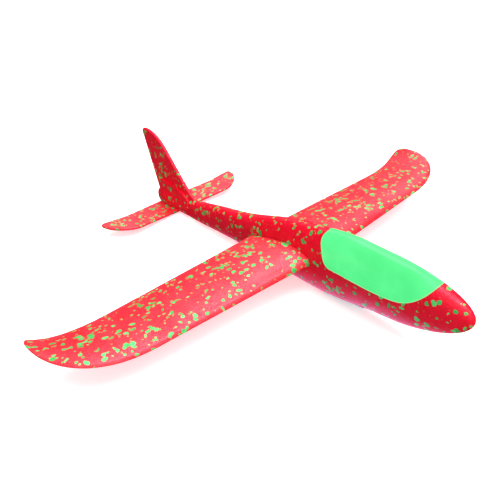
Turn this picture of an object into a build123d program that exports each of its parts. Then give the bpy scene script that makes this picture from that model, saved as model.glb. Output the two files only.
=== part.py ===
"""Hand-throw foam glider with a lit cockpit, built as the pieces it comes apart into.

Units are millimetres. +X points to the nose, +Y to the port wing and +Z up. The origin
lies under the middle of the model, on the level of the flat land moulded under the belly.
"""

from build123d import *
import math
import os

# ---------------------------------------------------------------- fuselage
NOSE_X = 218.0
NOSE_START_X = 140.0
NOSE_Z = 41.2
BOOM_END_X = -209.5
BOOM_ROUND = 8.5
SECTION_POWER = 2.3
SECTION_POINTS = 20
# station x, top z, bottom z, half width
HULL_STATIONS = (
    (-201.0, 23.0, 0.3, 7.0),
    (-160.0, 24.0, 0.2, 7.3),
    (-120.0, 27.0, 0.6, 7.8),
    (-70.0, 35.6, 2.0, 9.1),
    (-20.0, 43.9, 2.4, 10.9),
    (20.0, 54.6, 1.0, 12.2),
    (50.0, 61.4, -0.7, 13.0),
    (80.0, 65.4, -0.5, 13.6),
    (110.0, 68.4, 2.6, 14.0),
    (NOSE_START_X, 67.0, 8.2, 14.2),
)
NOSE_TURNS = (18, 34, 48, 61, 72, 81, 87)
BOOM_TURNS = (35, 60, 80)

# ---------------------------------------------------------------- fin and tail block
FIN_HALF_THICKNESS = 2.2
FIN_EDGE_ROUND = 1.9
BLOCK_HALF_WIDTH = 5.8
BLOCK_REAR_HALF_WIDTH = 4.9
BLOCK_EDGE_ROUND = 0.6

# ---------------------------------------------------------------- wings
WING_ROOT_Y = 9.9
WING_BREAK_Y = 163.7
ROOT_LE = (75.6, 32.0)
ROOT_TE = (-5.2, 29.3)
BREAK_LE = (63.0, 29.6)
BREAK_TE = (-9.7, 23.9)
TIP_CORNER = (-13.0, 236.9, 39.8)
LE_HANDLES = ((61.8, 214.4, 31.6), (34.2, 240.5, 44.3))
TE_HANDLES = ((-7.1, 206.5, 24.7), (-18.6, 225.8, 23.8))
ROOT_CAMBER = 0.125
OUTER_CAMBER = 0.085
UNDERSIDE = 0.018
EDGE_HALF = 0.75
RIB_POINTS = 10
INNER_RIBS = (0.0, 0.27, 0.53, 0.8)
JOIN_RIBS = (0.8, 0.9, 1.0)
TIP_TURNS = (0.12, 0.26, 0.4, 0.54, 0.67, 0.78, 0.87, 0.93)
TIP_ROUND = 9.6
TIP_ROUND_CENTRE = (-5.4, 227.7)

SPAR_X = (18.0, 66.0)
SPAR_Z = (30.8, 35.4)
TONGUE_LENGTH = 5.0
TONGUE_THICKNESS = 1.6
TONGUE_X = (24.0, 60.0)
SLOT_GAP = 0.35

# ---------------------------------------------------------------- tailplane
TAIL_Z = 3.2
TAIL_THICKNESS = 3.2
TAIL_EDGE_ROUND = 1.2
TAIL_CORNER_ROUND = 5.0
TAIL_FLAT_HALF = 8.6
TAIL_ROOT_X = (-202.1, -160.0)
TAIL_BREAK_Y = 64.3
TAIL_BREAK_X = (-188.8, -150.5)
TAIL_TIP = (-188.0, 96.7)
TAIL_TIP_HANDLES = ((-150.9, 82.4), (-173.2, 101.1))
TAIL_DIHEDRAL = 6.3

# ---------------------------------------------------------------- canopy and cockpit
CANOPY_WALL = 1.2
CANOPY_SEAM = 0.15
COCKPIT_WALL = 3.6
COCKPIT_FLOOR_Z = 21.0

# ---------------------------------------------------------------- light unit, in its own frame
UNIT_X = 106.0
UNIT_Z = 6.5
UNIT_TILT = 7.0
HOUSING_L, HOUSING_W, HOUSING_H = 46.0, 14.4, 14.5
FLANGE_L, FLANGE_W, FLANGE_T = 49.0, 15.4, 1.4
BAY_U = (-19.5, 1.9)
BAY_HALF_W = 6.1
BAY_W = (1.6, 13.9)
COVER_U = (-21.5, 11.0)
COVER_HALF_W = 6.6
COVER_T = 1.6
COVER_GAP = 0.2
COVER_SCREW_U = 7.4
CELL_R, CELL_T, CELL_AXIS_W = 5.8, 5.4, 7.7
CELL_COUNT = 3
PLATE_T = 0.4
SPRING_R, SPRING_WIRE_R, SPRING_PITCH = 3.1, 0.28, 1.1
BOARD_T = 1.2
BOARD_L, BOARD_W = 45.6, 14.0
BOARD_SCREW_U = 21.2
SWITCH_U = 15.0
SWITCH_SIDE = 6.2
SWITCH_W = (9.0, 14.5)
BUTTON_R = 3.2
BUTTON_HOLE_R = 3.4
BUTTON_FLANGE_R = 4.2
PLUNGER_R = 1.2
LED_U = (-9.0, 10.0)
LED_R, LED_FLANGE_R, LED_FLANGE_T, LED_BARREL = 2.5, 2.9, 1.0, 5.0


def write(part, name):
    """Save one sub-part under its node name."""
    part.label = name
    export_step(part, f"parts/{name}.step")


def block(x, y, z):
    """A box given by its low and high corner along each axis."""
    size = [high - low for low, high in (x, y, z)]
    middle = [(high + low) / 2 for low, high in (x, y, z)]
    return Pos(*middle) * Box(*size)


def rod(radius, low, high, u=0.0, v=0.0):
    """An upright cylinder from one height to another."""
    return Pos(u, v, (low + high) / 2) * Cylinder(radius, high - low)


# ---------------------------------------------------------------- fuselage

def hull_section(x, top, bottom, half_width, inset):
    """One closed cross-section: a superellipse, a little squarer than an ellipse."""
    middle = (top + bottom) / 2
    half_height = max((top - bottom) / 2 - inset, 0.4)
    half_width = max(half_width - inset, 0.3)
    points = []
    for i in range(SECTION_POINTS):
        angle = 2 * math.pi * i / SECTION_POINTS
        c, s = math.cos(angle), math.sin(angle)
        y = math.copysign(abs(c) ** (2 / SECTION_POWER), c) * half_width
        z = math.copysign(abs(s) ** (2 / SECTION_POWER), s) * half_height
        points.append((x, y, middle + z))
    return Wire([Edge.make_spline(points, periodic=True)])


def hull(inset=0.0):
    """The streamlined body from boom end to nose, drawn in by an inset for its inner faces."""
    sections = [Vertex(BOOM_END_X + inset, 0, 11.5)]
    tail_x, tail_top, tail_bottom, tail_half = HULL_STATIONS[0]
    tail_middle = (tail_top + tail_bottom) / 2
    for turn in reversed(BOOM_TURNS):
        reach = math.sin(math.radians(turn))
        shrink = math.cos(math.radians(turn))
        x = tail_x - (BOOM_ROUND - inset) * reach
        half_height = (tail_top - tail_bottom) / 2 * shrink
        sections.append(hull_section(x, tail_middle + half_height, tail_middle - half_height,
                                     tail_half * shrink, inset * shrink))
    for station in HULL_STATIONS:
        sections.append(hull_section(*station, inset))
    _, nose_top, nose_bottom, nose_half = HULL_STATIONS[-1]
    for turn in NOSE_TURNS:
        s = math.sin(math.radians(turn))
        x = NOSE_START_X + (NOSE_X - NOSE_START_X - inset) * s
        top = NOSE_Z + (nose_top - NOSE_Z) * math.sqrt(1 - s ** 1.71)
        bottom = NOSE_Z - (NOSE_Z - nose_bottom) * math.sqrt(1 - s ** 1.57)
        half = nose_half * math.sqrt(1 - s ** 2.17)
        sections.append(hull_section(x, top, bottom, half, inset * math.sqrt(1 - s ** 4)))
    sections.append(Vertex(NOSE_X - inset, 0, NOSE_Z))
    return Solid.make_loft(sections)


def side_plate(outline, half_width):
    """A plate drawn in side view and given its thickness across the model."""
    face = Face(outline)
    return extrude(face, amount=half_width, dir=(0, 1, 0), both=True)


def fin():
    """The upright fin, a blade with a raked and bowed leading edge."""
    leading = Spline(
        (-112.0, 0, 22.0), (-124.6, 0, 27.8), (-138.5, 0, 39.4), (-151.8, 0, 55.0), (-168.0, 0, 75.4),
        (-179.0, 0, 87.4), (-191.0, 0, 94.8), (-206.0, 0, 98.9),
    )
    tip = Spline(
        (-206.0, 0, 98.9), (-215.0, 0, 98.4), (-218.0, 0, 94.0),
        tangents=(leading % 1, (0.15, 0, -1)),
    )
    trailing = Line((-218.0, 0, 94.0), (-205.4, 0, 16.0))
    base = Line((-205.4, 0, 16.0), (-112.0, 0, 22.0))
    blade = side_plate(Wire([leading, tip, trailing, base]), FIN_HALF_THICKNESS)
    front = blade.edges().filter_by(lambda e: e.length > 100 and e.bounding_box().max.Z > 98)
    blade = fillet(front, FIN_EDGE_ROUND)
    return blade


def tail_block():
    """The thicker root of the fin: an arched ridge that curls down into the boom at its front."""
    ridge = Spline(
        (-198.4, 0, 39.6), (-185.0, 0, 38.4), (-169.5, 0, 36.4), (-154.5, 0, 33.9),
        (-142.0, 0, 30.6), (-135.4, 0, 25.8), (-132.2, 0, 20.0), (-130.6, 0, 14.0),
    )
    outline = Wire([
        ridge,
        Line((-130.6, 0, 14.0), (-197.4, 0, 10.0)),
        Line((-197.4, 0, 10.0), (-198.4, 0, 39.6)),
    ])
    half = BLOCK_HALF_WIDTH
    rear_half = BLOCK_REAR_HALF_WIDTH
    plan = Wire([
        Line((-206.5, -rear_half, 0), (-125.0, -half, 0)),
        Line((-125.0, -half, 0), (-125.0, half, 0)),
        Line((-125.0, half, 0), (-206.5, rear_half, 0)),
        Line((-206.5, rear_half, 0), (-206.5, -rear_half, 0)),
    ])
    ridge_block = side_plate(outline, 2 * half) & extrude(Face(plan), amount=60)
    rims = ridge_block.edges().filter_by(lambda e: e.length > 50 and e.bounding_box().min.Z > 12)
    return fillet(rims, BLOCK_EDGE_ROUND)


def canopy_region(grow=0.0):
    """The part of the hull that belongs to the canopy, cut by its outline in side view."""
    low = 36.6 - grow
    outline = Wire([
        Spline(
            (97.0, 0, low + 0.7), (92.2, 0, 41.0 - grow), (88.6 - grow, 0, 51.0), (85.9 - grow, 0, 60.0),
            (91.5 - grow, 0, 69.5),
        ),
        Line((91.5 - grow, 0, 69.5), (96.0, 0, 90.0)),
        Line((96.0, 0, 90.0), (196.0, 0, 90.0)),
        Line((196.0, 0, 90.0), (191.5 + grow, 0, 61.0)),
        Spline(
            (191.5 + grow, 0, 61.0), (184.6 + grow, 0, 51.5), (177.5, 0, 44.6 - grow),
            (168.0, 0, 39.2 - grow), (154.0, 0, low + 0.1), (139.0, 0, low - 0.4),
            (118.0, 0, low + 0.1), (97.0, 0, low + 0.7),
        ),
    ])
    return side_plate(outline, 30.0)


def unit_place():
    """Where the light unit sits: on the belly under the cockpit, tipped to follow it."""
    return Pos(UNIT_X, 0, UNIT_Z) * Rot(0, -UNIT_TILT, 0)


def cockpit():
    """The hollow under the canopy, open to the light unit below."""
    shell = hull(COCKPIT_WALL)
    room = block((96.0, 176.0), (-30.0, 30.0), (COCKPIT_FLOOR_Z, 80.0))
    return shell & room


def fuselage(body):
    """The foam moulding: pod, boom, tail block and fin in one piece."""
    foam = body + tail_block() + fin()
    foam -= canopy_region(CANOPY_SEAM)
    foam -= cockpit()
    foam -= block((-300, 300), (-50, 50), (-20, 0))
    foam -= unit_place() * block((-23.1, 23.1), (-7.3, 7.3), (-12, 26.5))
    foam -= unit_place() * block((-24.6, 24.6), (-7.8, 7.8), (-12, FLANGE_T))
    gap = SLOT_GAP
    foam -= block((SPAR_X[0] - gap, SPAR_X[1] + gap), (-20, 20), (SPAR_Z[0] - gap, SPAR_Z[1] + gap))
    socket = wing_socket()
    foam -= socket
    foam -= mirror(socket, about=Plane.XZ)
    foam -= block(
        (-215, TAIL_ROOT_X[1] + gap), (-20, 20),
        (TAIL_Z - TAIL_THICKNESS / 2 - gap, TAIL_Z + TAIL_THICKNESS / 2 + gap),
    )
    return foam


def canopy(body):
    """A translucent shell that carries on the outline of the pod."""
    return (body & canopy_region()) - hull(CANOPY_WALL)


# ---------------------------------------------------------------- wings

def between(a, b, t):
    """The point a fraction of the way along a straight line."""
    return tuple(p + (q - p) * t for p, q in zip(a, b))


def bezier(a, b, c, d, t):
    """A point on a cubic curve with two handles."""
    k = ((1 - t) ** 3, 3 * (1 - t) ** 2 * t, 3 * (1 - t) * t ** 2, t ** 3)
    return tuple(k[0] * p + k[1] * q + k[2] * r + k[3] * s for p, q, r, s in zip(a, b, c, d))


def aerofoil_height(s):
    """Height of a streamlined section over its chord, 1 at its thickest."""
    return 10 * (0.2969 * math.sqrt(s) - 0.126 * s - 0.3516 * s ** 2 + 0.2843 * s ** 3 - 0.1015 * s ** 4)


def rib(front, rear, camber, grow=0.0):
    """One wing section: a rounded nose, a bowed back, a nearly flat underside, a rounded rear edge."""
    chord = math.dist(front, rear)
    edge = EDGE_HALF * min(1.0, chord / 40) + grow
    upper, lower = [], []
    for i in range(1, RIB_POINTS + 1):
        s = (1 - math.cos(math.pi * i / RIB_POINTS)) / 2
        x, y, z = between(front, rear, s)
        shape = chord * aerofoil_height(s)
        upper.append((x, y, z + camber * shape + edge * math.sqrt(s)))
        lower.append((x, y, z - UNDERSIDE * shape - edge * math.sqrt(s)))
    heel = between(front, rear, 1 + 0.7 * edge / chord)
    outline = [front] + upper + [heel] + lower[::-1]
    return Wire([Edge.make_spline([Vector(*p) for p in outline], periodic=True)])


def wing_panel():
    """The port panel: a straight inner part, then a tip that sweeps back and curls up."""
    root_le = (ROOT_LE[0], WING_ROOT_Y, ROOT_LE[1])
    root_te = (ROOT_TE[0], WING_ROOT_Y, ROOT_TE[1])
    break_le = (BREAK_LE[0], WING_BREAK_Y, BREAK_LE[1])
    break_te = (BREAK_TE[0], WING_BREAK_Y, BREAK_TE[1])

    def straight_rib(t):
        camber = ROOT_CAMBER + (OUTER_CAMBER - ROOT_CAMBER) * t
        return rib(between(root_le, break_le, t), between(root_te, break_te, t), camber)

    def tip_rib(t):
        front = bezier(break_le, *LE_HANDLES, TIP_CORNER, t)
        rear = bezier(break_te, *TE_HANDLES, TIP_CORNER, t)
        return rib(front, rear, OUTER_CAMBER * (1 - 0.5 * t * t))

    inner = Solid.make_loft([straight_rib(t) for t in INNER_RIBS])
    outer = Solid.make_loft([straight_rib(t) for t in JOIN_RIBS] + [tip_rib(t) for t in TIP_TURNS])
    x, y = TIP_ROUND_CENTRE
    corner = block((x - 20, x), (y, y + 20), (20, 60)) - rod(TIP_ROUND, 19, 61, x, y)
    return inner + outer - corner


def wing_socket():
    """The shallow recess in the side of the pod that the panel's root sits in."""
    front, rear = (ROOT_LE[0] + 0.5, ROOT_LE[1]), (ROOT_TE[0] - 0.5, ROOT_TE[1])

    def socket_rib(y):
        return rib((front[0], y, front[1]), (rear[0], y, rear[1]), ROOT_CAMBER, SLOT_GAP)

    return Solid.make_loft([socket_rib(y) for y in (WING_ROOT_Y - 0.3, 24.0)])


def wing_left(panel):
    """Port wing: its spar tongue ends in a groove on the centreline."""
    tab = block(SPAR_X, (0.15, WING_ROOT_Y + 3), SPAR_Z)
    middle = sum(SPAR_Z) / 2
    half = TONGUE_THICKNESS / 2 + 0.3
    groove = block(
        (TONGUE_X[0] - 0.3, TONGUE_X[1] + 0.3), (-1, TONGUE_LENGTH + 0.5), (middle - half, middle + half)
    )
    return panel + tab - groove


def wing_right(panel):
    """Starboard wing: its spar ends in a tongue that enters the port wing's groove."""
    tab = block(SPAR_X, (-WING_ROOT_Y - 3, -0.15), SPAR_Z)
    middle = sum(SPAR_Z) / 2
    half = TONGUE_THICKNESS / 2
    tongue = block(TONGUE_X, (-1, TONGUE_LENGTH), (middle - half, middle + half))
    return mirror(panel, about=Plane.XZ) + tab + tongue


# ---------------------------------------------------------------- tailplane

def tail_half():
    """One half of the tailplane, flat in plan, before it is tipped up."""
    root_te = (TAIL_ROOT_X[0], 0)
    root_le = (TAIL_ROOT_X[1], 0)
    slope_te = (TAIL_BREAK_X[0], TAIL_BREAK_Y - TAIL_FLAT_HALF)
    slope_le = (TAIL_BREAK_X[1], TAIL_BREAK_Y - TAIL_FLAT_HALF)
    tip = (TAIL_TIP[0], TAIL_TIP[1] - TAIL_FLAT_HALF)
    handles = [(x, y - TAIL_FLAT_HALF) for x, y in TAIL_TIP_HANDLES]
    outline = Wire([
        Line(root_te, root_le),
        Line(root_le, slope_le),
        Bezier(slope_le, *handles, tip),
        Line(tip, slope_te),
        Line(slope_te, root_te),
    ])
    plank = extrude(Face(outline), amount=TAIL_THICKNESS / 2, both=True)
    rear_corner = plank.edges().filter_by(Axis.Z).sort_by(Axis.Y)[-1]
    plank = fillet(rear_corner, TAIL_CORNER_ROUND)
    flat_edges = plank.edges().filter_by(lambda e: e.bounding_box().size.Z < 0.01)
    rim = flat_edges.filter_by(lambda e: e.bounding_box().max.Y > 1)
    plank = fillet(rim, TAIL_EDGE_ROUND)
    return Pos(0, TAIL_FLAT_HALF, 0) * Rot(TAIL_DIHEDRAL, 0, 0) * plank


def tailplane():
    """A one-piece tailplane: a flat middle in the boom and two slightly raised halves."""
    half = tail_half()
    other = mirror(half, about=Plane.XZ)
    thick = TAIL_THICKNESS / 2
    centre = block(TAIL_ROOT_X, (-TAIL_FLAT_HALF, TAIL_FLAT_HALF), (-thick, thick))
    centre = fillet(centre.edges().filter_by(Axis.Y), TAIL_EDGE_ROUND)
    return Pos(0, 0, TAIL_Z) * (centre + half + other)


# ---------------------------------------------------------------- light unit

def light_housing():
    """The plastic tray in the belly: battery bay, screw post, button hole and end walls."""
    tray = block((-HOUSING_L / 2, HOUSING_L / 2), (-HOUSING_W / 2, HOUSING_W / 2), (0, HOUSING_H))
    tray += block((-FLANGE_L / 2, FLANGE_L / 2), (-FLANGE_W / 2, FLANGE_W / 2), (0, FLANGE_T))
    tray -= block(COVER_U, (-COVER_HALF_W, COVER_HALF_W), (-1, COVER_T))
    tray -= block(BAY_U, (-BAY_HALF_W, BAY_HALF_W), (-1, BAY_W[1]))
    tray -= block((3.0, 19.4), (-6.0, 6.0), (COVER_T, HOUSING_H + 1))
    tray += rod(2.6, COVER_T, HOUSING_H, COVER_SCREW_U)
    tray += block((COVER_SCREW_U - 4.4, COVER_SCREW_U), (-1.0, 1.0), (COVER_T, HOUSING_H))
    tray -= rod(0.9, 0, 9.0, COVER_SCREW_U)
    tray -= rod(BUTTON_HOLE_R, -1, COVER_T + 1, SWITCH_U)
    for u in (-BOARD_SCREW_U, BOARD_SCREW_U):
        tray -= rod(0.8, 9.0, HOUSING_H + 1, u)
    for u in (BAY_U[0], BAY_U[1] - PLATE_T):
        tray -= block((u, u + PLATE_T), (-4.5, 4.5), (BAY_W[1] - 1, HOUSING_H + 1))
    return tray


def battery_cover():
    """The belly hatch over the cells, with locating lugs and a sunk screw hole."""
    gap = COVER_GAP
    half_w = COVER_HALF_W - gap
    lid = block((COVER_U[0] + gap, COVER_U[1] - gap), (-half_w, half_w), (0, COVER_T - 0.05))
    for side in (-1, 1):
        middle = side * (BAY_HALF_W - 0.9)
        lid += block((-15.0, -3.0), (middle - 0.5, middle + 0.5), (COVER_T - 0.3, COVER_T + 0.25))
    lid -= rod(2.1, -1, 0.9, COVER_SCREW_U)
    lid -= rod(1.0, -1, 3, COVER_SCREW_U)
    for i in range(5):
        lid -= block((-19.6 + i, -19.2 + i), (-4.5, 4.5), (-1, 0.3))
    return lid


def cross_screw(head_r, head_t, shank_r, length, flip):
    """A small self-tapping screw with a cross recess; flip puts the head underneath."""
    body = rod(head_r, 0, head_t) + rod(shank_r, -length, 0)
    body += Pos(0, 0, -length - shank_r * 0.6) * Cone(0.2, shank_r, shank_r * 1.2)
    arm = head_r * 0.6
    body -= block((-arm, arm), (-0.25, 0.25), (head_t - 0.6, head_t + 1))
    body -= block((-0.25, 0.25), (-arm, arm), (head_t - 0.6, head_t + 1))
    return Rot(180, 0, 0) * body if flip else body


def button_cell(index):
    """One button cell lying on its edge: can, insulating groove and smaller negative cap."""
    aft = BAY_U[1] - PLATE_T - CELL_T * (index + 1)
    can = Cylinder(CELL_R, CELL_T - 0.4)
    can = chamfer(can.edges().filter_by(GeomType.CIRCLE), 0.35)
    cell = Pos(0, 0, 0.2) * can + Pos(0, 0, -CELL_T / 2 + 0.3) * Cylinder(4.6, 0.6)
    return Pos(aft + CELL_T / 2, 0, CELL_AXIS_W) * Rot(0, 90, 0) * cell


def contact_spring():
    """The coil that presses the cells together."""
    start = BAY_U[0] + PLATE_T + SPRING_WIRE_R
    end = BAY_U[1] - PLATE_T - CELL_T * CELL_COUNT - SPRING_WIRE_R
    path = Edge.make_helix(pitch=SPRING_PITCH, height=end - start, radius=SPRING_R)
    ring = Plane(origin=path @ 0, z_dir=path % 0) * Circle(SPRING_WIRE_R)
    coil = sweep(ring, path=path, is_frenet=True)
    return Pos(start, 0, CELL_AXIS_W) * Rot(0, 90, 0) * coil


def contact_strip(low):
    """A thin contact plate standing at one end of the bay and reaching the board."""
    return block((low, low + PLATE_T), (-4.3, 4.3), (BAY_W[0] + 0.6, HOUSING_H))


def circuit_board():
    """The board across the top of the tray."""
    board = Pos(0, 0, HOUSING_H + BOARD_T / 2) * Box(BOARD_L, BOARD_W, BOARD_T)
    board = fillet(board.edges().filter_by(Axis.Z), 1.0)
    for u in (-BOARD_SCREW_U, BOARD_SCREW_U):
        board -= rod(1.0, HOUSING_H - 1, HOUSING_H + BOARD_T + 1, u)
    return board


def board_screws():
    """Two screws that hold the board to the end walls of the tray."""
    top = HOUSING_H + BOARD_T
    screw = cross_screw(1.5, 1.0, 0.7, 4.0, False)
    return Pos(-BOARD_SCREW_U, 0, top) * screw + Pos(BOARD_SCREW_U, 0, top) * screw


def driver_chip():
    """The blob of resin over the flasher chip."""
    top = HOUSING_H + BOARD_T
    dome = Pos(0, 0, -3.2) * Sphere(4.6)
    return Pos(0.5, 0, top) * (dome & block((-6, 6), (-6, 6), (0, 3)))


def resistors():
    """Two small current-limiting resistors beside the lamps."""
    top = HOUSING_H + BOARD_T
    chips = [Pos(u, 4.6, top + 0.3) * Box(2.0, 1.25, 0.6) for u in (-4.0, 5.4)]
    return chips[0] + chips[1]


def led(u):
    """A round lamp standing on the board: flange, barrel and dome."""
    base = HOUSING_H + BOARD_T
    shoulder = base + LED_FLANGE_T + LED_BARREL
    lamp = rod(LED_FLANGE_R, base, base + LED_FLANGE_T, u) + rod(LED_R, base, shoulder, u)
    dome = Pos(u, 0, shoulder) * Sphere(LED_R)
    return lamp + dome


def switch_body():
    """The push switch hung under the board, with the plunger's bore and spring chamber."""
    half = SWITCH_SIDE / 2
    body = block((SWITCH_U - half, SWITCH_U + half), (-half, half), SWITCH_W)
    body -= rod(2.2, 10.2, 13.9, SWITCH_U)
    return body - rod(PLUNGER_R + 0.08, 8, 11, SWITCH_U)


def switch_plunger():
    """The stem of the switch with the collar that its spring pushes on."""
    return rod(PLUNGER_R, 0.5, 10.5, SWITCH_U) + rod(1.9, 10.3, 11.1, SWITCH_U)


def switch_spring():
    """The return spring of the switch."""
    wire = 0.18
    path = Edge.make_helix(pitch=0.75, height=13.9 - 11.1 - 2 * wire, radius=1.35)
    ring = Plane(origin=path @ 0, z_dir=path % 0) * Circle(wire)
    coil = sweep(ring, path=path, is_frenet=True)
    return Pos(SWITCH_U, 0, 11.1 + wire) * coil


def button_cap():
    """The button under the finger, held in by a collar behind the tray's face."""
    cap = rod(BUTTON_R, -0.8, 1.9, SWITCH_U) + rod(BUTTON_FLANGE_R, 1.9, 2.9, SWITCH_U)
    rim = cap.edges().filter_by(GeomType.CIRCLE).sort_by(Axis.Z)[0]
    cap = fillet(rim, 0.5)
    return cap - rod(PLUNGER_R, 0.5, 5, SWITCH_U)


def light_unit():
    """Every piece of the light unit, by node name, in the unit's own frame."""
    parts = {
        "light_housing": light_housing(),
        "battery_cover": battery_cover(),
        "cover_screw": Pos(COVER_SCREW_U, 0, 0.9) * cross_screw(1.8, 0.8, 0.8, 4.5, True),
        "contact_spring": contact_spring(),
        "spring_plate": contact_strip(BAY_U[0]),
        "contact_plate": contact_strip(BAY_U[1] - PLATE_T),
        "circuit_board": circuit_board(),
        "board_screws": board_screws(),
        "driver_chip": driver_chip(),
        "resistors": resistors(),
        "led_rear": led(LED_U[0]),
        "led_front": led(LED_U[1]),
        "switch_body": switch_body(),
        "switch_plunger": switch_plunger(),
        "switch_spring": switch_spring(),
        "button_cap": button_cap(),
    }
    for index in range(CELL_COUNT):
        parts[f"button_cell_{index + 1}"] = button_cell(index)
    return parts


os.makedirs("parts", exist_ok=True)
body = hull()
panel = wing_panel()
write(fuselage(body), "fuselage")
write(canopy(body), "canopy")
write(wing_left(panel), "wing_left")
write(wing_right(panel), "wing_right")
write(tailplane(), "tailplane")
for name, piece in light_unit().items():
    write(unit_place() * piece, name)
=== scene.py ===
"""Looks for the lit foam hand glider: materials, light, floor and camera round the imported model.

Positions are metres in the model's own frame: +X to the nose, +Y to the port wing, +Z up.
Sizes inside the materials are millimetres.
"""

import math

import bpy
from mathutils import Matrix, Vector


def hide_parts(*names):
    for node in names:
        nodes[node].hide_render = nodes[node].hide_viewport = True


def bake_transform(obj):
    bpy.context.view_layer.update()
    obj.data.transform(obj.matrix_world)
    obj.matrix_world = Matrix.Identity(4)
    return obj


MM_PER_M = 1000
WHITE = (1, 1, 1, 1)

# ---------------------------------------------------------------- camera
CAMERA_TARGET = Vector((-0.0141, -0.0104, 0.0082))
CAMERA_AZIMUTH = math.radians(-36.23)
CAMERA_ELEVATION = math.radians(32.18)
CAMERA_ROLL = math.radians(-7.27)
CAMERA_DISTANCE = 0.49665
CAMERA_LENS = 34.56
SENSOR_WIDTH = 36.0

# ---------------------------------------------------------------- light
# the sky as the camera sees it, as it lights the model and as it shows in the gloss
SKY_SEEN = 0.93
SKY_LIGHT = 0.23
SKY_GLOSS = 0.05
# the floor likewise, how much its shadows are lifted, its reach and how far it lies under the belly
FLOOR_SEEN = (0.93, 0.93, 0.93, 1)
FLOOR_BOUNCE = (0.32, 0.32, 0.32, 1)
FLOOR_GLOSS = (0.04, 0.04, 0.04, 1)
SHADOW_FILL = 0.40
FLOOR_HALF = 30.0
FLOOR_DROP = 0.0003
# soft far lamps: azimuth, elevation, strength, width of the disc in degrees, colour
SUNS = {
    "key": (38, 58, 1.25, 36, WHITE),
    "crown": (128, 58, 1.05, 34, WHITE),
    "top": (-20, 74, 0.8, 32, WHITE),
    "back": (150, 30, 0.16, 30, WHITE),
    "rim": (110, 18, 0.20, 30, WHITE),
    "fill": (-28, 28, 1.6, 100, WHITE),
    "bounce": (160, -60, 3.6, 36, (0.85, 0.60, 1.0, 1)),
}


class Look:
    """A material, with short ways to add its nodes and wire them."""

    def __init__(self, name):
        self.material = bpy.data.materials.new(name)
        self.material.use_nodes = True
        self.tree = self.material.node_tree
        self.tree.nodes.clear()
        self.mm = self.vector("SCALE", self.node("TexCoord").outputs["Object"], scale=MM_PER_M)

    def node(self, kind, inputs=None, **settings):
        """Adds a shader node. An input is a number, a colour or another node's output."""
        made = self.tree.nodes.new("ShaderNode" + kind)
        for key, value in settings.items():
            setattr(made, key, value)
        for key, value in (inputs or {}).items():
            if isinstance(value, bpy.types.NodeSocket):
                self.tree.links.new(value, made.inputs[key])
            else:
                made.inputs[key].default_value = value
        return made

    def math(self, operation, *values):
        return self.node("Math", dict(enumerate(values)), operation=operation).outputs[0]

    def vector(self, operation, *values, scale=None):
        made = self.node("VectorMath", dict(enumerate(values)), operation=operation)
        if scale is not None:
            made.inputs["Scale"].default_value = scale
        return made.outputs[0]

    def mix(self, share, a, b):
        """A colour between a and b."""
        made = self.node("Mix", {0: share, 6: a, 7: b}, data_type="RGBA")
        return made.outputs[2]

    def ease(self, value, low, high, start=0.0, end=1.0):
        """start below low, end above high, and a soft change between them."""
        made = self.node(
            "MapRange",
            {"Value": value, "From Min": low, "From Max": high, "To Min": start, "To Max": end},
            interpolation_type="SMOOTHSTEP",
        )
        return made.outputs[0]

    def noise(self, size, detail=2.0, at=None, output=0):
        """Soft noise whose blotches are about size millimetres across."""
        place = self.mm if at is None else at
        made = self.node("TexNoise", {"Vector": place, "Scale": 1 / size, "Detail": detail})
        return made.outputs[output]

    def cells(self, size, at=None, feature="F1"):
        """Cells about size millimetres across, each with its own random colour."""
        place = self.mm if at is None else at
        return self.node("TexVoronoi", {"Vector": place, "Scale": 1 / size}, feature=feature)

    def channels(self, colour):
        return self.node("SeparateColor", {0: colour}).outputs

    def warp(self, size, reach, at=None):
        """The place, pushed about by up to reach millimetres."""
        place = self.mm if at is None else at
        push = self.vector("SUBTRACT", self.noise(size, 1.0, place, "Color"), (0.5, 0.5, 0.5))
        return self.vector("ADD", place, self.vector("SCALE", push, scale=2 * reach))

    def bump(self, height, depth, strength=1.0):
        """A normal from a height of 0 to 1 that stands for depth millimetres."""
        relief = {"Height": height, "Distance": depth / MM_PER_M, "Strength": strength}
        return self.node("Bump", relief).outputs["Normal"]

    def finish(self, **inputs):
        """Ends the material in one principled shader; base_color feeds its socket Base Color."""
        sockets = {}
        for key, value in inputs.items():
            sockets[key.replace("_", " ").title().replace("Ior", "IOR")] = value
        shader = self.node("BsdfPrincipled", sockets)
        self.node("OutputMaterial", {"Surface": shader.outputs[0]})
        return self.material


# ---------------------------------------------------------------- foam

# the pod's reds and the wings' and tailplane's: base, deep and pale red. The wings' and tailplane's
# are pinker, a painted sheen for the light that falls on their upward faces
POD_REDS = ((0.94, 0.001, 0.028, 1), (0.78, 0.001, 0.014, 1), (0.97, 0.008, 0.050, 1))
WING_REDS_PINKED_FOR_SHEEN = ((0.92, 0.018, 0.038, 1), (0.80, 0.008, 0.022, 1), (0.95, 0.075, 0.10, 1))
BEAD_GREEN = (0.11, 0.74, 0.22, 1)
BEAD_GREEN_DEEP = (0.045, 0.50, 0.10, 1)
# green beads that lie under a thin skin of red
BURIED = (0.86, 0.10, 0.05, 1)
# the skin's reflection leans to pink
FOAM_GLOSS_TINT = (1.0, 0.84, 1.0, 1)
BEAD_SIZE = 3.7
CRUMB_SIZE = 2.3
# beads with a score above this are green; more crowding lowers it
GREEN_SCORE = 1.44
GREEN_CRUMB_SCORE = 0.955
BURIED_SCORE = 0.86
# the relief of the skin: seams between beads, dimples and grain, as millimetres across and share
DIMPLE_SIZE, DIMPLE_SHARE = 1.6, 0.9
GRAIN_SIZE, GRAIN_SHARE = 0.45, 0.45
RELIEF_DEPTH = 0.16


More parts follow.
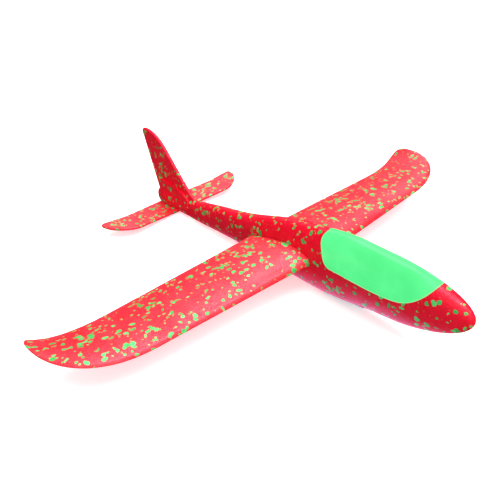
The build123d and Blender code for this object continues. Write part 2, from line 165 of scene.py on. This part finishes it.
def foam_material(name, shift, crowding, reds, gloss):
    """Moulded beaded foam: red beads pressed together, with scattered green beads among them.

    shift moves the pattern, in millimetres. crowding adds green beads.
    """
    look = Look(name)
    base_red, deep_red, pale_red = reds
    look.mm = look.vector("ADD", look.mm, shift)
    bent = look.warp(2.4, 0.8, look.warp(8.0, 2.6))
    beads = look.cells(BEAD_SIZE, bent)
    pick = look.channels(beads.outputs["Color"])
    crowd = look.noise(9.0, 1.0, beads.outputs["Position"])
    drift = look.noise(60.0, 1.0, beads.outputs["Position"])
    score = look.math("MULTIPLY_ADD", crowd, 0.9, pick[0])
    score = look.math("MULTIPLY_ADD", drift, 0.25, score)
    chosen = look.math("GREATER_THAN", score, GREEN_SCORE - crowding)
    blob = look.ease(beads.outputs["Distance"], 0.56, 0.66, 1.0, 0.0)
    large = look.math("MULTIPLY", chosen, blob)

    crumbs = look.cells(CRUMB_SIZE, look.warp(4.0, 0.8))
    crumb_pick = look.channels(crumbs.outputs["Color"])
    crumb_chosen = look.math("GREATER_THAN", crumb_pick[0], GREEN_CRUMB_SCORE)
    crumb_blob = look.ease(crumbs.outputs["Distance"], 0.45, 0.58, 1.0, 0.0)
    small = look.math("MULTIPLY", crumb_chosen, crumb_blob)
    green = look.math("MAXIMUM", large, small)

    buried_pick = look.math("GREATER_THAN", crumb_pick[1], BURIED_SCORE)
    buried_blob = look.ease(crumbs.outputs["Distance"], 0.15, 0.6, 0.5, 0.0)
    buried = look.math("MULTIPLY", buried_pick, buried_blob)

    red = look.mix(look.ease(pick[1], 0.0, 1.0, 0.0, 0.45), base_red, deep_red)
    red = look.mix(look.ease(look.noise(22.0, 3.0), 0.35, 0.75, 0.0, 0.5), red, pale_red)
    red = look.mix(look.ease(look.noise(1.1, 3.0), 0.40, 0.68, 0.0, 0.65), red, pale_red)
    red = look.mix(buried, red, BURIED)
    leaf = look.mix(look.ease(pick[2], 0.0, 1.0), BEAD_GREEN, BEAD_GREEN_DEEP)
    colour = look.mix(green, red, leaf)

    seam = look.cells(BEAD_SIZE, bent, "DISTANCE_TO_EDGE").outputs["Distance"]
    seam_height = look.ease(seam, 0.0, 0.09)
    dimple = look.math("MULTIPLY_ADD", look.noise(DIMPLE_SIZE, 2.0), DIMPLE_SHARE, seam_height)
    height = look.math("MULTIPLY_ADD", look.noise(GRAIN_SIZE, 3.0), GRAIN_SHARE, dimple)
    rough = look.ease(look.noise(5.0, 3.0), 0.3, 0.7, 0.31, 0.43)
    return look.finish(
        base_color=colour, roughness=rough,
        specular_ior_level=gloss, specular_tint=FOAM_GLOSS_TINT,
        normal=look.bump(height, RELIEF_DEPTH, 0.6),
    )


# ---------------------------------------------------------------- canopy

CANOPY_GLOWS = ((0.11, 0.83, 0.27, 1), (0.13, 0.88, 0.31, 1))
# the paler glow painted on the shell's edges, a painted highlight
CANOPY_RIM_HIGHLIGHT = (0.50, 0.92, 0.40, 1)
CANOPY_PLASTICS = ((0.02, 0.10, 0.04, 1), (0.03, 0.14, 0.05, 1))
# how far in from an edge the shell's glow is painted paler: a painted highlight for the light its
# edges catch
CANOPY_HIGHLIGHT_RIM_WIDTH = 0.0022


def canopy_material():
    """Frosted green plastic with the lamps lit behind it."""
    look = Look("lit_canopy")
    cloud = look.ease(look.noise(26.0, 2.0), 0.3, 0.7)
    glow = look.mix(cloud, *CANOPY_GLOWS)
    # a painted highlight: the glow is paler where the bevelled normal leaves the true one, near the
    # shell's edges
    rounded = look.node("Bevel", {"Radius": CANOPY_HIGHLIGHT_RIM_WIDTH}, samples=6).outputs[0]
    true = look.node("NewGeometry").outputs["Normal"]
    facing = look.node("VectorMath", {0: rounded, 1: true}, operation="DOT_PRODUCT")
    rim = look.ease(facing.outputs["Value"], 0.80, 0.995, 0.8, 0.0)
    glow = look.mix(rim, glow, CANOPY_RIM_HIGHLIGHT)
    base = look.mix(cloud, *CANOPY_PLASTICS)
    frost = look.noise(0.35, 2.0)
    return look.finish(
        base_color=base, roughness=look.ease(frost, 0.3, 0.7, 0.22, 0.32), specular_ior_level=0.25,
        emission_color=glow, emission_strength=0.84,
        normal=look.bump(frost, 0.02, 0.3),
    )


# ---------------------------------------------------------------- small parts

# the darker and the lighter tone of each finish
BLACKS = ((0.018, 0.018, 0.02, 1), (0.034, 0.034, 0.037, 1))
SCREW_STEELS = ((0.42, 0.42, 0.43, 1), (0.66, 0.66, 0.67, 1))
CELL_STEELS = ((0.50, 0.50, 0.50, 1), (0.74, 0.74, 0.73, 1))
CHIP_BLACKS = ((0.010, 0.010, 0.011, 1), (0.022, 0.022, 0.024, 1))
GLAZE_BLACKS = ((0.02, 0.02, 0.022, 1), (0.10, 0.10, 0.10, 1))
SWITCH_WHITES = ((0.66, 0.66, 0.64, 1), (0.80, 0.80, 0.78, 1))
BUTTON_GREYS = ((0.20, 0.20, 0.21, 1), (0.29, 0.29, 0.30, 1))
BOARD_GREENS = ((0.010, 0.105, 0.035, 1), (0.014, 0.125, 0.045, 1))
TRACK_GREEN = (0.035, 0.23, 0.085, 1)
PAD_TIN = (0.80, 0.74, 0.60, 1)
LAMP_PLASTIC = (0.05, 0.5, 0.16, 1)
LAMP_GLOWS = ((0.16, 0.86, 0.32, 1), (0.42, 0.95, 0.52, 1))


def moulded_plastic(name, tones, roughness):
    """Plastic or resin with a fine spark-eroded grain and faint patches between two tones."""
    look = Look(name)
    spark = look.noise(0.3, 3.0)
    patch = look.ease(look.noise(6.0, 2.0), 0.35, 0.7)
    return look.finish(
        base_color=look.mix(patch, *tones),
        roughness=look.ease(spark, 0.3, 0.7, roughness - 0.07, roughness + 0.07),
        normal=look.bump(spark, 0.03, 0.5),
    )


def metal(name, tones, roughness, stretch=(1, 1, 1)):
    """Bright metal with fine marks, drawn out along an axis where stretch is small."""
    look = Look(name)
    streak = look.noise(0.5, 4.0, look.vector("MULTIPLY", look.mm, stretch))
    return look.finish(
        base_color=look.mix(look.ease(streak, 0.3, 0.7), *tones), metallic=1.0,
        roughness=look.ease(look.noise(1.2, 3.0), 0.3, 0.7, roughness - 0.08, roughness + 0.08),
        normal=look.bump(streak, 0.008, 0.3),
    )


def board_material():
    """Green solder mask over faint tracks, with small tinned pads."""
    look = Look("board_green")
    tracks = look.node("TexBrick", {
        "Vector": look.mm, "Color1": BOARD_GREENS[0], "Color2": BOARD_GREENS[1],
        "Mortar": TRACK_GREEN, "Scale": 0.45, "Mortar Size": 0.09,
    })
    pads = look.cells(3.1)
    pad = look.ease(pads.outputs["Distance"], 0.12, 0.16, 1.0, 0.0)
    weave = look.noise(0.25, 2.0)
    return look.finish(
        base_color=look.mix(pad, tracks.outputs[0], PAD_TIN), metallic=pad,
        roughness=look.ease(weave, 0.3, 0.7, 0.26, 0.4),
        normal=look.bump(look.math("ADD", weave, pad), 0.02, 0.5),
    )


def lamp_material():
    """A clear green-tinted lamp whose glow varies in soft patches."""
    look = Look("lamp_green")
    haze = look.ease(look.noise(1.3, 2.0), 0.3, 0.7)
    return look.finish(
        base_color=LAMP_PLASTIC,
        roughness=look.ease(look.noise(0.4, 2.0), 0.3, 0.7, 0.08, 0.2),
        emission_color=look.mix(haze, *LAMP_GLOWS),
        emission_strength=0.95,
    )


def wear(names, material):
    """Gives the CAD nodes this material in place of their plain one."""
    for name in names:
        slots = nodes[name].material_slots
        if not slots:
            nodes[name].data.materials.append(material)
        for entry in nodes[name].material_slots:
            entry.material = material


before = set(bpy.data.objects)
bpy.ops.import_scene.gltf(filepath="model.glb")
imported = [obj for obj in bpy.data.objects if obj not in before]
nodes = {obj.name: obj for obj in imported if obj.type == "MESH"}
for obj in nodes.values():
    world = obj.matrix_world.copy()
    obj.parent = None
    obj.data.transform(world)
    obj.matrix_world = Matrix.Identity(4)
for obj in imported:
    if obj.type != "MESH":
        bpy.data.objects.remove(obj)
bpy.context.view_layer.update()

wear(["fuselage"], foam_material("foam_pod", (0, 35, 80), -0.02, POD_REDS, 0.6))
# the wings and tailplane wear the pinker reds, their painted sheen
wear(["wing_left"], foam_material("foam_port_wing", (310, 20, 45), 0.0, WING_REDS_PINKED_FOR_SHEEN, 0.8))
wear(["wing_right"], foam_material("foam_starboard_wing", (0, 0, 140), 0.02, WING_REDS_PINKED_FOR_SHEEN, 0.8))
wear(["tailplane"], foam_material("foam_tail", (70, 50, 0), 0.05, WING_REDS_PINKED_FOR_SHEEN, 0.8))
wear(["canopy"], canopy_material())
black = moulded_plastic("black_plastic", BLACKS, 0.45)
wear(["light_housing", "battery_cover", "switch_body"], black)
steel = metal("screw_steel", SCREW_STEELS, 0.32)
wear(["cover_screw", "board_screws", "contact_spring"], steel)
wear(["spring_plate", "contact_plate", "switch_spring"], steel)
drawn_steel = metal("cell_steel", CELL_STEELS, 0.26, (0.15, 1, 1))
wear(["button_cell_1", "button_cell_2", "button_cell_3"], drawn_steel)
wear(["circuit_board"], board_material())
wear(["driver_chip"], moulded_plastic("chip_resin", CHIP_BLACKS, 0.2))
wear(["resistors"], moulded_plastic("resistor_glaze", GLAZE_BLACKS, 0.3))
wear(["led_rear", "led_front"], lamp_material())
wear(["switch_plunger"], moulded_plastic("switch_white", SWITCH_WHITES, 0.35))
wear(["button_cap"], moulded_plastic("button_grey", BUTTON_GREYS, 0.5))


# ---------------------------------------------------------------- switch spring

def return_spring():
    """The switch's spring as a piece of its own: a copy of the rigid spring, which is hidden."""
    rigid = nodes["switch_spring"]
    coil = bpy.data.objects.new("return_spring", rigid.data.copy())
    bpy.context.scene.collection.objects.link(coil)
    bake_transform(coil)
    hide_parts("switch_spring")


return_spring()


# ---------------------------------------------------------------- floor, light and camera

def stage_floor():
    """A pale floor, seen only from above, that throws back little light of its own."""
    mesh = bpy.data.meshes.new("floor")
    half = FLOOR_HALF
    corners = [(-half, -half, 0), (half, -half, 0), (half, half, 0), (-half, half, 0)]
    mesh.from_pydata(corners, [], [(0, 1, 2, 3)])
    floor = bpy.data.objects.new("floor", mesh)
    floor.location.z = -FLOOR_DROP
    bpy.context.scene.collection.objects.link(floor)
    look = Look("floor_paint")
    rays = look.node("LightPath").outputs
    seen = rays["Is Camera Ray"]
    paint = look.mix(rays["Is Glossy Ray"], look.mix(seen, FLOOR_BOUNCE, FLOOR_SEEN), FLOOR_GLOSS)
    matt = look.node("BsdfDiffuse", {"Color": paint})
    lift = look.node("Emission", {"Strength": look.math("MULTIPLY", seen, SHADOW_FILL)})
    lit = look.node("AddShader", {0: matt.outputs[0], 1: lift.outputs[0]})
    clear = look.node("BsdfTransparent")
    below = look.node("NewGeometry").outputs["Backfacing"]
    open_to = look.math("MAXIMUM", below, rays["Is Shadow Ray"])
    shader = look.node("MixShader", {0: open_to, 1: lit.outputs[0], 2: clear.outputs[0]})
    look.node("OutputMaterial", {"Surface": shader.outputs[0]})
    mesh.materials.append(look.material)


def direction(azimuth, elevation):
    """The unit vector towards that azimuth and elevation, both in radians."""
    flat = math.cos(elevation)
    return Vector((flat * math.cos(azimuth), flat * math.sin(azimuth), math.sin(elevation)))


def sun(name, azimuth, elevation, strength, spread, colour):
    data = bpy.data.lights.new(name, "SUN")
    data.energy = strength
    data.angle = math.radians(spread)
    data.color = colour[:3]
    lamp = bpy.data.objects.new(name, data)
    towards = direction(math.radians(azimuth), math.radians(elevation))
    lamp.rotation_mode = "QUATERNION"
    lamp.rotation_quaternion = towards.to_track_quat("Z", "Y")
    bpy.context.scene.collection.objects.link(lamp)


def studio():
    """The picture settings, the sky and the soft lamps."""
    scene = bpy.context.scene
    scene.view_settings.view_transform = "Standard"
    scene.view_settings.look = "Medium High Contrast"
    world = bpy.data.worlds.new("studio")
    world.use_nodes = True
    tree = world.node_tree
    background = tree.nodes["Background"]
    background.inputs["Color"].default_value = WHITE
    rays = tree.nodes.new("ShaderNodeLightPath").outputs
    gloss = tree.nodes.new("ShaderNodeMapRange")
    gloss.inputs["To Min"].default_value = SKY_LIGHT
    gloss.inputs["To Max"].default_value = SKY_GLOSS
    tree.links.new(rays["Is Glossy Ray"], gloss.inputs["Value"])
    seen = tree.nodes.new("ShaderNodeMapRange")
    seen.inputs["To Max"].default_value = SKY_SEEN
    tree.links.new(rays["Is Camera Ray"], seen.inputs["Value"])
    tree.links.new(gloss.outputs[0], seen.inputs["To Min"])
    tree.links.new(seen.outputs[0], background.inputs["Strength"])
    scene.world = world
    for name, settings in SUNS.items():
        sun(name, *settings)


def make_camera():
    """The camera, round the middle of the model and tipped over by its roll."""
    data = bpy.data.cameras.new("camera")
    data.lens = CAMERA_LENS
    data.sensor_width = SENSOR_WIDTH
    data.clip_start, data.clip_end = 0.01, 200.0
    camera = bpy.data.objects.new("camera", data)
    back = direction(CAMERA_AZIMUTH, CAMERA_ELEVATION)
    camera.location = CAMERA_TARGET + back * CAMERA_DISTANCE
    level = back.to_track_quat("Z", "Y").to_matrix()
    camera.rotation_euler = (level @ Matrix.Rotation(CAMERA_ROLL, 3, "Z")).to_euler()
    bpy.context.scene.collection.objects.link(camera)
    bpy.context.scene.camera = camera


stage_floor()
studio()
make_camera()
